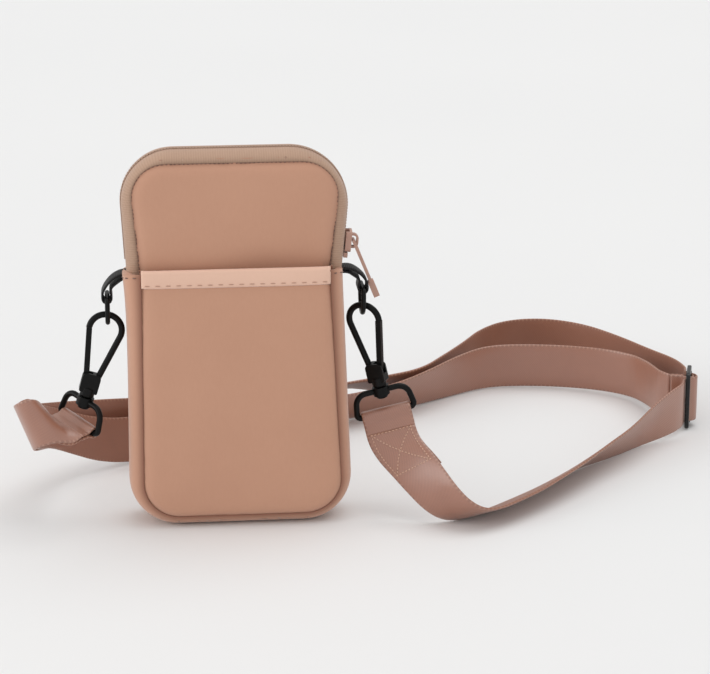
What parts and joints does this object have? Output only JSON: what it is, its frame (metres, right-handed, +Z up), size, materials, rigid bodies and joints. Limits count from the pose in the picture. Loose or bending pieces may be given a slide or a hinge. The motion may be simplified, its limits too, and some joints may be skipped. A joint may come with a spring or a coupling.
{
  "type": "phone pouch",
  "caption": "Upright neoprene phone pouch with a zip over its top, a front slip pocket and a webbing shoulder strap on swivel snap hooks.",
  "frame": {"origin": "middle of the pouch's flat base, halfway between the front and back panels", "axes": "+Z up the pouch, +X to the zip slider's side, -Y out of the front with the slip pocket"},
  "size_m": [0.3719, 0.2745, 0.1896],
  "materials": {
    "neoprene": "matte knitted face over foam, dusty peach pink",
    "hem_jersey": "lighter pink turned hem",
    "zip_tape": "ribbed taupe tape",
    "zip_teeth": "moulded coil, taupe",
    "zip_metal": "satin rose brown enamel",
    "ribbon": "woven black ribbon",
    "black_metal": "black enamel, half gloss",
    "webbing": "satin woven webbing, rose brown",
    "adjuster_plastic": "moulded, glossy black"
  },
  "bodies": {
    "pouch": {"back_panel": "neoprene", "front_panel": "neoprene", "pocket_panel": "neoprene", "pocket_hem": "hem_jersey", "lower_gusset": "neoprene", "zip_tape_front": "zip_tape", "zip_tape_back": "zip_tape", "zip_teeth_front": "zip_teeth", "zip_teeth_back": "zip_teeth", "zip_stops": "zip_metal", "left_ring_tab": "ribbon", "right_ring_tab": "ribbon", "strap_right_fold": "webbing", "strap_left_fold": "webbing", "strap_sewn_end": "webbing", "strap_front_run": "webbing", "strap_outer_run": "webbing", "strap_inner_run": "webbing", "strap_adjuster": "adjuster_plastic"},
    "slider": {"zip_slider": "zip_metal"},
    "pull": {"zip_pull": "zip_metal"},
    "left_ring": {"left_d_ring": "black_metal"},
    "left_eye": {"left_swivel_eye": "black_metal"},
    "left_hook_body": {"left_hook": "black_metal", "left_gate_pin": "black_metal"},
    "left_gate": {"left_hook_gate": "black_metal"},
    "right_ring": {"right_d_ring": "black_metal"},
    "right_eye": {"right_swivel_eye": "black_metal"},
    "right_hook_body": {"right_hook": "black_metal", "right_gate_pin": "black_metal"},
    "right_gate": {"right_hook_gate": "black_metal"}
  },
  "joints": [
    {"name": "zip_slide", "type": "slide", "parent": "pouch", "child": "slider", "axis": [0.0905, 0, 0.9959], "range_m": [0, 0.0155]},
    {"name": "zip_pull_swing", "type": "hinge", "parent": "slider", "child": "pull", "pos_m": [0.05673, 0, 0.14004], "axis": [0, -1, 0], "range_deg": [0, 110]},
    {"name": "left_ring_swing", "type": "hinge", "parent": "pouch", "child": "left_ring", "pos_m": [-0.0642, 0, 0.11479], "axis": [0, 1, 0], "range_deg": [0, 13.5]},
    {"name": "left_hook_sway", "type": "hinge", "parent": "pouch", "child": "left_eye", "pos_m": [-0.08009, 0, 0.04982], "axis": [0.6147, -0.766, -0.1879], "range_deg": [0, 4]},
    {"name": "left_hook_swivel", "type": "hinge", "parent": "left_eye", "child": "left_hook_body", "pos_m": [-0.07512, 0, 0.06608], "axis": [0.2924, 0, 0.9563], "range_deg": [-40, 40]},
    {"name": "left_gate_open", "type": "hinge", "parent": "left_hook_body", "child": "left_gate", "pos_m": [-0.07556, 0, 0.07353], "axis": [0, 1, 0], "range_deg": [0, 20], "stiffness_Nm_per_rad": 0.02, "springref_deg": -20.05},
    {"name": "right_ring_swing", "type": "hinge", "parent": "pouch", "child": "right_ring", "pos_m": [0.061, 0, 0.11649], "axis": [0, 1, 0], "range_deg": [-3.5, 3.5]},
    {"name": "right_hook_sway", "type": "hinge", "parent": "pouch", "child": "right_eye", "pos_m": [0.07323, 0, 0.05054], "axis": [0.9744, 0, 0.225], "range_deg": [-1, 1]},
    {"name": "right_hook_swivel", "type": "hinge", "parent": "right_eye", "child": "right_hook_body", "pos_m": [0.0694, 0, 0.0671], "axis": [-0.225, 0, 0.9744], "range_deg": [-20, 20]},
    {"name": "right_gate_open", "type": "hinge", "parent": "right_hook_body", "child": "right_gate", "pos_m": [0.07002, -0.0013, 0.07443], "axis": [-0.4872, -0.866, -0.1125], "range_deg": [0, 20], "stiffness_Nm_per_rad": 0.02, "springref_deg": -20.05}
  ],
  "couplings": [
    {"joint": "left_ring_swing", "follows": "left_hook_sway", "ratio": 3.2628}
  ]
}
